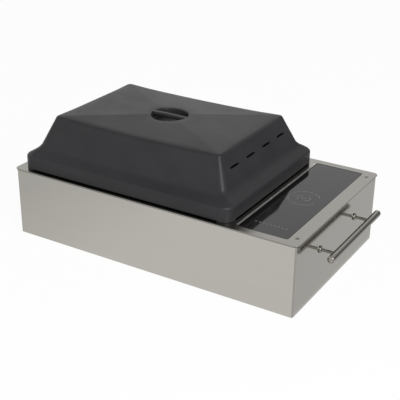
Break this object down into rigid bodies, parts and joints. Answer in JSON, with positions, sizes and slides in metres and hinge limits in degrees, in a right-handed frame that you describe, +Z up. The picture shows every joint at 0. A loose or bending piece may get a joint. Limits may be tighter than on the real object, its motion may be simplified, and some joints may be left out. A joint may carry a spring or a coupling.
{
  "type": "built-in electric grill",
  "caption": "Stainless box grill with a lift-off moulded lid over a well with grate, element and drip tray, a glass touch panel and a bar handle.",
  "frame": {"origin": "middle of the overall box, on the surface that the feet stand on", "axes": "+X to the end with the handle and touch panel, +Y to the long side away from the viewer, +Z up"},
  "size_m": [0.577, 0.321, 0.222],
  "materials": {
    "brushed_stainless": "brushed along its length, satin",
    "plate_stainless": "brushed, satin",
    "handle_stainless": "turned and brushed, satin",
    "grey_moulded_lid": "fine moulded texture, low sheen",
    "black_glass": "polished black glass ceramic, opaque",
    "black_gasket": "matte silicone",
    "black_rubber_feet": "matte rubber",
    "screw_steel": "bright plain steel",
    "galvanised_sheet": "dull galvanised sheet",
    "drawn_stainless": "drawn sheet, satin",
    "cast_grate": "cast, dark non-stick coat",
    "element_sheath": "dark oxidised nickel alloy sheath",
    "moulded_black": "black heat-resistant moulding",
    "socket_ceramic": "unglazed steatite ceramic",
    "limiter_body": "phenolic",
    "contact_brass": "plated contacts",
    "insulation": "pressed mineral fibre",
    "circuit_board": "glass-fibre laminate with solder mask",
    "indicator_lens": "clear red resin",
    "transformer_iron": "varnished laminations",
    "terminal_plastic": "grey nylon",
    "lead_sleeve": "silicone-sleeved leads"
  },
  "bodies": {
    "casing": {"casing_shell": "brushed_stainless", "top_plate": "plate_stainless", "handle_bar": "handle_stainless", "handle_posts": "handle_stainless", "handle_collars": "handle_stainless", "glass_panel": "black_glass", "plate_gasket": "black_gasket", "glass_gasket": "black_gasket", "lead_grommet": "black_gasket", "feet": "black_rubber_feet", "plate_screws": "screw_steel", "plate_nuts": "screw_steel", "base_screws": "screw_steel", "base_nuts": "screw_steel", "foot_screws": "screw_steel", "foot_nuts": "screw_steel", "handle_screws": "screw_steel", "well_studs": "screw_steel", "well_nuts": "screw_steel", "socket_screws": "screw_steel", "shield_rivets": "screw_steel", "control_screws": "screw_steel", "touch_board_screws": "screw_steel", "power_board_screws": "screw_steel", "inlet_screws": "screw_steel", "earth_stud": "screw_steel", "earth_nut": "screw_steel", "board_standoffs": "screw_steel", "lead_clips": "screw_steel", "casing_base": "galvanised_sheet", "floor_shield": "galvanised_sheet", "heat_shield": "galvanised_sheet", "plate_tongues": "galvanised_sheet", "glass_seat": "galvanised_sheet", "grill_well": "drawn_stainless", "control_tray": "moulded_black", "power_inlet": "moulded_black", "power_relays": "moulded_black", "filter_capacitor": "moulded_black", "mains_lead": "moulded_black", "element_socket": "socket_ceramic", "thermal_limiter": "limiter_body", "socket_tabs": "contact_brass", "inlet_pins": "contact_brass", "touch_electrodes": "contact_brass", "insulation_board": "insulation", "touch_board": "circuit_board", "power_board": "circuit_board", "indicator_lights": "indicator_lens", "transformer": "transformer_iron", "mains_terminals": "terminal_plastic", "element_leads": "lead_sleeve", "signal_lead": "lead_sleeve"},
    "lid": {"lid_shell": "grey_moulded_lid"},
    "grate": {"grate": "cast_grate"},
    "element": {"heating_element": "element_sheath", "element_plug": "moulded_black", "element_pins": "contact_brass", "element_straps": "element_sheath"},
    "drip_tray": {"drip_tray": "drawn_stainless"}
  },
  "joints": [
    {"name": "lid_lift", "type": "slide", "parent": "casing", "child": "lid", "axis": [0, 0, 1], "range_m": [0, 0.16]},
    {"name": "grate_lift", "type": "slide", "parent": "casing", "child": "grate", "axis": [0, 0, 1], "range_m": [0, 0.04]},
    {"name": "element_withdraw", "type": "slide", "parent": "casing", "child": "element", "axis": [-1, 0, 0], "range_m": [0, 0.016]},
    {"name": "drip_tray_lift", "type": "slide", "parent": "casing", "child": "drip_tray", "axis": [0, 0, 1], "range_m": [0, 0.02]}
  ]
}
